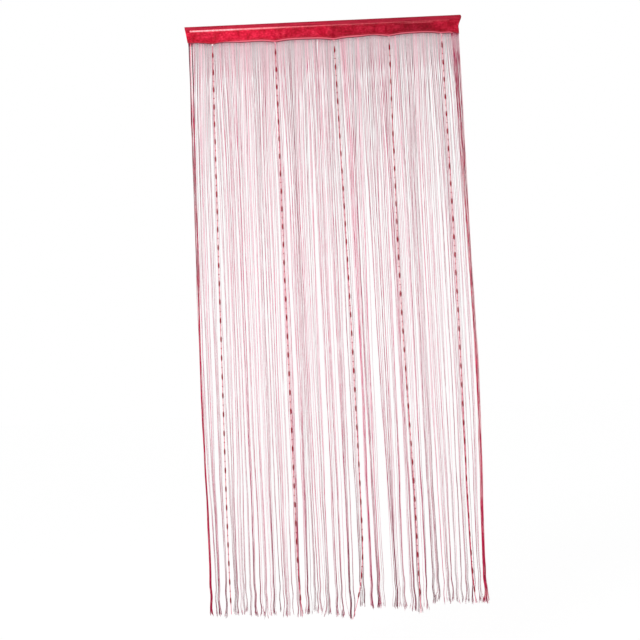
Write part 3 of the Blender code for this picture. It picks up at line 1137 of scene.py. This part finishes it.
LOCK_WAVES = ((0.0009, 0.52), (0.0004, 0.19))  # shared by the strings of a lock
DEPTH_WAVE = (0.0006, 0.6)
HEM_RIPPLE = (0.0017, 0.085)
HEM_FORK = 0.011  # how far the tips of a lock part at most
STEP_SHARES = np.concatenate(
    [
        np.linspace(0.0, 0.03, 5)[:-1],
        np.linspace(0.03, 0.92, 42)[:-1],
        np.linspace(0.92, 1.0, 13),
    ]
)


def wave(places, length, phase):
    return np.sin(2 * math.pi * places / length + phase)


def crowding(x, depths):
    """How far the strings lean to one side under the tape, so that they crowd and part in turns."""
    total = 0.0
    for size, length, phase, start, end in CROWDING:
        total = total + size * wave(x, length, phase) * eased(depths, start, end)
    push = math.copysign(PARTING["width"], x - PARTING["middle"])
    push *= math.exp(-abs(x - PARTING["middle"]) / PARTING["reach"])
    return total + push * eased(depths, 0.058, 0.072) * (1 - eased(depths, 0.100, 0.160))


def side_draw(x, depths):
    """How far the outer strings of the veil lean towards the side cords."""
    left = max(0.0, 1.0 - (x + FIELD_HALF - LEFT_EDGE["width"]) / VEIL_REACH)
    right = max(0.0, 1.0 - (FIELD_HALF - RIGHT_EDGE["width"] - x) / VEIL_REACH)
    lean = VEIL_DRAW["left"] * left**2 + VEIL_DRAW["right"] * right**2
    return lean * eased(depths, 0.08, 0.35) * (1 - eased(depths, 1.30, 1.95))


def veil_line(line, depths, lock, chance):
    """Lets a string of the veil keep to its lock or stray, crowd and lean. Says whether it strays."""
    x = line[:, 0]
    root = float(x[0])
    pull = HEM_LOCKS_MM[lock][1]
    strays = chance.uniform() < STRAYS * (STRONG_STRAYS if pull >= STRONG_LOCK else 1.0)
    joins = chance.uniform(*(STRAYING if strays else JOINING))
    if not strays:
        joins = joins + (1.0 - joins) * eased(depths, 1.0, 1.8)
    x[:] = root + (x - root) * joins
    x += crowding(root, depths) * (1 - 0.6 * eased(depths, 1.2, 1.9))
    x += side_draw(root, depths)
    for spread, start, end in OWN_LEANS:
        x += chance.normal(0.0, spread) * eased(depths, start, end)
    return strays


def string_line(route, chance):
    """The wandering middle line of one string, and whether it stays out of its lock."""
    places = np.array(route["places"])
    bends = -places[:, 2]
    depths = bends[0] + (bends[-1] - bends[0]) * STEP_SHARES
    end = bends[-1]
    line = smooth_through(bends, places[:, :2], depths, hangs_plumb=True)
    x, y = line[:, 0], line[:, 1]
    lock = route["lock"]
    strays = False
    if lock in (0, len(HEM_LOCKS_MM) - 1):
        middle = HEM_LOCKS_MM[lock][0] * MM
        x += (x - middle) * SIDE_CORD_SPREADS * eased(depths, 0.75, 1.35)
    else:
        strays = veil_line(line, depths, lock, chance)
    free = eased(depths, 0.07, 0.32) * (1 - 0.50 * eased(depths, 1.30, 1.90))
    for amplitude, length in OWN_WAVES:
        x += amplitude * free * wave(depths, length, chance.uniform(0.0, 2 * math.pi))
    amplitude, length = DEPTH_WAVE
    y += amplitude * free * wave(depths, length, chance.uniform(0.0, 6.28))
    low = eased(depths, 1.20, 1.70)
    for turn, (amplitude, length) in enumerate(LOCK_WAVES):
        x += amplitude * low * wave(depths, length, 2 * math.pi * (uneven(lock * 3 + turn) + 0.5))
    amplitude, length = HEM_RIPPLE
    ripples = wave(depths, length, 2 * math.pi * uneven(lock * 7 + 3))
    x += amplitude * eased(depths, end - 0.150, end - 0.050) * ripples
    tip = eased(depths, end - 0.034, end + 0.012)
    fork = HEM_FORK * (uneven(lock * 5 + 2) + 0.5)
    x += fork * tip * (2 * route["aside"] + chance.uniform(-0.5, 0.5))
    y += 0.0025 * tip * chance.uniform(-1.0, 1.0)
    return np.column_stack((line, -depths)), strays


LEFT_CORDS = (-0.4692, -0.4588)  # where the two cords of the left edge hang
WIDTH_PROFILE = (  # share of the string's length, width against the usual
    (0.000, 1.90),
    (0.003, 1.70),
    (0.008, 1.34),
    (0.033, 1.20),
    (0.070, 1.22),
    (0.105, 1.07),
    (0.177, 0.96),
    (0.285, 0.84),
    (0.410, 0.75),
    (0.536, 0.70),
    (0.716, 0.71),
    (0.860, 0.79),
    (0.985, 0.94),
    (1.000, 1.05),
)
WIDTH_ACROSS = (  # across, width against the usual
    (-0.40, 0.93),
    (-0.26, 0.93),
    (-0.12, 1.06),
    (0.02, 1.00),
    (0.16, 1.13),
    (0.30, 0.97),
)
SHADE_BY_DEPTH = (  # below the top edge, how much paler than the mean: painted shade under the tape and at the hem, painted light in the middle
    (0.070, -0.22),
    (0.086, -0.20),
    (0.134, -0.15),
    (0.204, -0.08),
    (0.415, 0.00),
    (0.623, 0.04),
    (0.870, 0.115),
    (1.110, 0.14),
    (1.460, 0.10),
    (1.740, 0.07),
    (1.880, -0.04),
    (1.980, -0.17),
)
LEFT_SHADE_BY_DEPTH = (
    (0.07, -0.70),
    (0.24, -0.45),
    (0.34, -0.22),
    (0.90, -0.20),
    (1.20, 0.10),
    (1.75, 0.04),
    (1.95, -0.12),
)
RIGHT_SHADE_BY_DEPTH = (
    (0.07, -0.12),
    (0.40, -0.10),
    (0.55, -0.06),
    (0.90, -0.05),
    (1.30, 0.10),
    (1.75, 0.10),
    (1.95, 0.00),
)
SHADE_ACROSS = -0.12  # change of the shade for each metre to the right: painted fall-off of the light from the left
STRAY_WIDTH, LOCKED_WIDTH = -0.22, 0.08  # change of width and shade near the hem; the locked yarns' darker shade is painted shade among the packed yarns
STRAY_SHADE, LOCKED_SHADE = 0.12, -0.07
MIDDLE_PALER = 1.10  # the pale string between the left edge's two cords
MIDDLE_WIDTH = 0.7  # and how thin it is against the others
YARNS_IN_STRING = {"left": 3, "right": 2, "veil": 2}
YARN_PITCH = 0.0034
YARN_WIDTHS = (0.88, 1.14)  # against the usual
YARN_TURNS = (0.45, 1.10)  # length in which the yarns of a string turn once round each other
YARN_ENDS = 0.004  # how much higher or lower a yarn may end
COLUMN_SHADE = 0.30  # share of the shade that a column's strings have in common


def part_of(number):
    """The part of the curtain that a string belongs to."""
    if number < LEFT_EDGE["strings"]:
        return "left"
    return "right" if number >= len(ROOTS) - RIGHT_EDGE["strings"] else "veil"


def draw_into_cords(number, line, depths):
    """The strings of the left edge first draw into two cords, one string apart, and then these join."""
    middle = LEFT_EDGE["strings"] // 2
    target = LEFT_CORDS[0] if number <= middle else LEFT_CORDS[1]
    share = (0.2 if number == middle else 0.85) * eased(depths, 0.050, 0.068)
    line[:, 0] += (target - line[:, 0]) * share * (1 - eased(depths, 0.22, 0.38))


def fullness(number, line, depths, strays):
    """Width of a string's yarns against the usual."""
    across = 1 + (from_table(WIDTH_ACROSS, line[0, 0]) - 1) * eased(depths, 0.06, 0.20)
    if part_of(number) == "veil":
        return across * (1 + (STRAY_WIDTH if strays else LOCKED_WIDTH) * eased(depths, 1.25, 1.85))
    full = across * (1.25 - 0.15 * eased(depths, 0.25, 0.40) + 0.30 * eased(depths, 0.80, 1.60))
    if number == LEFT_EDGE["strings"] // 2:
        full = full * (MIDDLE_WIDTH + (1 - MIDDLE_WIDTH) * eased(depths, 0.22, 0.38))
    return full


def paleness(number, line, depths, strays):
    """How much paler a string's yarns are than their own shade, with painted light and shade along the
    drop, across and in the locks.
    """
    tables = {"veil": SHADE_BY_DEPTH, "left": LEFT_SHADE_BY_DEPTH, "right": RIGHT_SHADE_BY_DEPTH}
    paler = from_table(tables[part_of(number)], depths)
    if part_of(number) == "veil":
        paler = paler + (STRAY_SHADE if strays else LOCKED_SHADE) * eased(depths, 1.25, 1.85)
    if number == LEFT_EDGE["strings"] // 2:
        paler = paler + MIDDLE_PALER * (1 - eased(depths, 0.22, 0.38))
    return paler + SHADE_ACROSS * line[0, 0]


def winding_radius(number, depths):
    """How far a yarn winds round the middle of its string."""
    if part_of(number) == "veil":
        return 0.00075 - 0.00025 * eased(depths, 1.4, 1.9)
    return 0.00095 - 0.00035 * eased(depths, 0.30, 0.60)


def yarn_set():
    """Paths, widths and shades of all yarns: by layer, and those of the two side cords."""
    chance = np.random.default_rng(20)
    layers = {key: {"paths": [], "widths": [], "shades": []} for key in (*LAYERS, "edge")}
    column_shades = chance.uniform(0.0, 1.0, len(ROOTS))
    profile = from_table(WIDTH_PROFILE, STEP_SHARES)
    for number, route in enumerate(string_routes()):
        line, strays = string_line(route, chance)
        depths = -line[:, 2]
        if part_of(number) == "left":
            draw_into_cords(number, line, depths)
        count = YARNS_IN_STRING[part_of(number)]
        group = layers[route["layer"] if part_of(number) == "veil" else "edge"]
        full = fullness(number, line, depths, strays)
        paler = paleness(number, line, depths, strays)
        radius = winding_radius(number, depths)
        wound = eased(depths, 0.075, 0.30)
        start = chance.uniform(0.0, 2 * math.pi)
        turn = chance.uniform(*YARN_TURNS)
        for yarn in range(count):
            angle = start + 2 * math.pi * (yarn / count + depths / turn)
            spread = (yarn - (count - 1) / 2) * YARN_PITCH / count
            x = line[:, 0] + spread * (1 - wound) + radius * np.cos(angle) * wound
            y = line[:, 1] + radius * np.sin(angle) * wound
            z = line[:, 2] - YARN_ENDS * chance.uniform(-1.0, 1.0) * eased(depths, 1.8, 2.0)
            shade = COLUMN_SHADE * column_shades[route["column"]]
            shade += (1 - COLUMN_SHADE) * chance.uniform(0.0, 1.0)
            group["paths"].append(np.column_stack((x, y, z)))
            group["widths"].append(YARN_WIDTH * chance.uniform(*YARN_WIDTHS) * full * profile)
            group["shades"].append(shade + paler)
    return layers


def yarns(layers, finish, edge_finish):
    names = {-1: "yarns_front", 0: "yarns_middle", 1: "yarns_back", "edge": "yarns_edge"}
    pieces = []
    for layer, group in layers.items():
        bm = bmesh.new()
        grow_tubes(bm, group["paths"], group["widths"], YARN_SIDES, group["shades"])
        dye = edge_finish if layer == "edge" else finish
        pieces.append(curtain_piece(bm, names[layer], dye, "strings"))
    return pieces


FIBRES = 3
FIBRE_LENGTHS = (0.006, 0.015)
FIBRE_SPREAD = 0.0026
FIBRE_BEND = 0.0012
FIBRE_RINGS = ((0.0, 0.00030), (0.35, 0.00026), (0.7, 0.00020), (1.0, 0.00012))  # share, width


def frayed_ends(layers, finish):
    """Fine fibres that part from the end of every yarn."""
    chance = np.random.default_rng(41)
    paths, widths, shades = [], [], []
    for group in layers.values():
        for path, shade in zip(group["paths"], group["shades"]):
            for _ in range(FIBRES):
                length = chance.uniform(*FIBRE_LENGTHS)
                aside = chance.uniform(-1.0, 1.0, 2) * FIBRE_SPREAD
                bend = chance.uniform(-0.8, 0.8, 2) * FIBRE_BEND
                rings = []
                for share, _ in FIBRE_RINGS:
                    drift = aside * share + bend * math.sin(math.pi * share)
                    rings.append((*(path[-2][:2] + drift), path[-2][2] - length * share))
                paths.append(rings)
                widths.append([width for _, width in FIBRE_RINGS])
                shades.append([min(1.0, shade[-1] + 0.15)] * len(rings))
    bm = bmesh.new()
    grow_tubes(bm, paths, widths, 3, shades)
    return curtain_piece(bm, "frayed_ends", finish, "strings")


# Bead strands
SEEDS_ASIDE = (0.0052, 0.0098, 0.0144)  # from the round bead
KNOTS_AT = ((-0.0026, -0.0004), (0.0024, -0.0010), (0.0, -0.0034))  # across, above the band's foot
TAB_SIZE = (0.0050, 0.0012, 0.0022)
THREAD_FROM = 0.078  # below the top edge: here the thread leaves the band's plane
THREAD_STEP = 0.0155
END_KNOT_WIDTH = 0.0021
CLEAR_BEAD_OUT = 0.0022  # in front of the thread


def strand_place(strand, depth):
    """The middle of a bead strand at a depth below the top edge."""
    *across_mm, swing_mm, longer_mm = strand
    length = DROP + longer_mm * MM
    x = smooth_through(STRAND_TABLE_DEPTHS, across_mm, min(depth, STRAND_TABLE_DEPTHS[-1])) * MM
    near_end = max(0.0, (depth - (length - SWING_LENGTH)) / SWING_LENGTH)
    x += swing_mm * MM * near_end**SWING_POWER
    first, last = STRAND_STANDS_OUT[0][0], STRAND_STANDS_OUT[-1][0]
    still_swayed = max(0.0, min(1.0, (last - depth) / (last - first)))
    y = sway_at(across_mm[0] * MM) * still_swayed - from_table(STRAND_STANDS_OUT, depth)
    return Vector((x, y, -depth))


def bead_matrix(strand, depth):
    """Places a bead on the strand, in line with it."""
    above = strand_place(strand, depth - 0.004)
    below = strand_place(strand, depth + 0.004)
    turn = (above - below).to_track_quat("Z", "Y").to_matrix().to_4x4()
    return Matrix.Translation(strand_place(strand, depth)) @ turn


def long_bead_shape():
    """A long bead with blunt ends, spun from its half outline."""
    bm = bmesh.new()
    outline = []
    for k in range(9):
        up = math.cos(math.pi * k / 8)
        out = (1 - abs(up) ** 3) ** 0.5
        outline.append(bm.verts.new((out * BEAD_WIDTH / 2, 0.0, up * BEAD_LENGTH / 2)))
    geom = outline + [bm.edges.new(pair) for pair in zip(outline, outline[1:])]
    bmesh.ops.spin(bm, geom=geom, axis=AXIS_Z, cent=(0, 0, 0), angle=2 * math.pi, steps=10, use_merge=True)
    bmesh.ops.remove_doubles(bm, verts=bm.verts, dist=1e-6)
    return shape_from(bm)


def small_bead_shape(width, squat):
    return ball_shape(8, 6, width / 2, (1.0, 1.0, squat))


def bead_depths():
    return [
        FIRST_BEAD_DEPTH + BEAD_PITCH * number + from_table(BEAD_DRIFT_MM, number) * MM
        for number in range(BEADS_PER_STRAND)
    ]


def round_bead_depths():
    depths = bead_depths()
    return [(above + below) / 2 for above, below in zip(depths, depths[1:])]


def seed_bead_depths():
    """Small beads at both ends of each long bead, and three on both sides of each round bead."""
    depths = []
    for depth in bead_depths():
        away = BEAD_LENGTH / 2 + SEED_BEAD_WIDTH * 0.4
        depths += [depth - away, depth + away]
    for depth in round_bead_depths():
        for away in SEEDS_ASIDE:
            depths += [depth - away, depth + away]
    return depths


def band_face(strand):
    """Where a strand is sewn on: its place across, just in front of the band, and the tape's edge there."""
    root = strand[0] * MM
    return root, sway_at(root) - BAND_THICK * 1.4, edge_at(root)


def bead_thread(strand):
    """The thread of a strand, with the sewn tab at its top and a small bead that ends it."""
    root, front, edge = band_face(strand)
    top = edge - 0.0006
    end = DROP + strand[-1] * MM
    depths = [-top + 0.0012, -top + 0.004, *np.arange(THREAD_FROM, end, THREAD_STEP), end]
    rings = [(root, front, -depth) for depth in depths[:2]]
    rings += [tuple(strand_place(strand, depth)) for depth in depths[2:]]
    bm = bmesh.new()
    grow_tubes(bm, [rings], [from_table(THREAD_WIDTHS, depths)], 6, [[0.8] * len(rings)])
    set_out(bm, ball_shape(10, 6, 0.5, TAB_SIZE), [Matrix.Translation((root, front, top - 0.0012))])
    set_out(bm, small_bead_shape(END_KNOT_WIDTH, 0.8), [bead_matrix(strand, end - 0.001)])
    return bm


def pale_knots(strand):
    """The knots at the foot of the band from which a strand hangs; their pale colour paints the glints on
    them.
    """
    root, front, edge = band_face(strand)
    foot = edge - band_showing(root)
    places = [Matrix.Translation((root + aside, front, foot + up)) for aside, up in KNOTS_AT]
    return copies(small_bead_shape(PALE_KNOT_WIDTH, 0.9), places)


def beads(strand, shape, depths):
    return copies(shape, [bead_matrix(strand, depth) for depth in depths])


def bead_pieces(number, strand, finishes):
    """The beads, the thread and the knots of one strand."""
    round_shape = small_bead_shape(ROUND_BEAD_WIDTH, 0.9)
    seed_shape = small_bead_shape(SEED_BEAD_WIDTH, 0.8)
    made = (
        ("long_beads", beads(strand, long_bead_shape(), bead_depths()), "long"),
        ("round_beads", beads(strand, round_shape, round_bead_depths()), "round"),
        ("seed_beads", beads(strand, seed_shape, seed_bead_depths()), "seed"),
        ("bead_thread", bead_thread(strand), "thread"),
        ("pale_knots", pale_knots(strand), "knot"),
    )
    node = f"bead_strand_{number}"
    pieces = []
    for name, bm, kind in made:
        pieces.append(curtain_piece(bm, f"{name}_{number}", finishes[kind], node))
    return pieces


def clear_end_bead(strand, finish):
    """The clear bead that closes the first strand at the tape, coloured near white to paint its glint."""
    place = strand_place(strand, CLEAR_BEAD_DEPTH)
    place.y -= CLEAR_BEAD_OUT
    bm = copies(small_bead_shape(CLEAR_BEAD_WIDTH, 0.95), [Matrix.Translation(place)])
    return curtain_piece(bm, "clear_end_bead", finish, "bead_strand_1")


def declare_sheet():
    """Measures the strip that the heading is folded from, and keeps nothing."""
    rows = tape_rows(0.0)
    strip = sum(math.dist(a, b) for a, b in zip(rows, rows[1:]))


def write_sizes():
    boxes = {"cad": cad_box, "visual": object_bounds()}
    plain = {name: [[float(v) for v in corner] for corner in box] for name, box in boxes.items()}


camera()
bpy.context.scene.view_settings.view_transform = "Standard"
studio_air()
studio_lights()
pale_floor()

tape_piece = heading_tape(tape_satin())
stitch_piece = topstitching(twisted_cord("stitch_thread", (0.30, 0.006, 0.020), (0.66, 0.050, 0.080)))
band_piece = fringe_band(band_weave())
# the binding cord's dark colours are partly painted shade under the band
cord_piece = binding_cord(twisted_cord("binding_cord", (0.07, 0.003, 0.010), (0.24, 0.014, 0.030)))
yarn_layers = yarn_set()
yarn_finish = spun_yarn("string_yarn", VEIL_DYES, VEIL_SLUBS)
yarn_pieces = yarns(yarn_layers, yarn_finish, spun_yarn("edge_yarn", EDGE_DYES, EDGE_SLUBS, EDGE_TOP_RIGHT_SHADING))
fray_piece = frayed_ends(yarn_layers, yarn_finish)
bead_finishes = {
    "long": clear_red("bead_long", (0.22, 0.003, 0.016), (0.62, 0.012, 0.045), 0.06),
    "round": clear_red("bead_round", (0.34, 0.006, 0.034), (0.78, 0.040, 0.100), 0.06),
    "seed": clear_red("bead_seed", (0.66, 0.020, 0.075), (0.92, 0.080, 0.170), 0.08),
    "thread": twisted_cord("bead_thread", (0.76, 0.060, 0.150), (1.00, 0.200, 0.320)),
    # the knots' pale colours are partly painted glints
    "knot": twisted_cord("pale_knot", (0.90, 0.420, 0.480), (1.00, 0.680, 0.720)),
}
strand_pieces = []
for place, row in enumerate(BEAD_STRANDS_MM, start=1):
    strand_pieces += bead_pieces(place, row, bead_finishes)
# near white: the clear bead's colour paints its glint
clear_finish = clear_red("bead_clear", (1.0, 0.86, 0.88), (1.0, 0.97, 0.97), 0.10)
strand_pieces.append(clear_end_bead(BEAD_STRANDS_MM[0], clear_finish))
declare_sheet()

write_sizes()
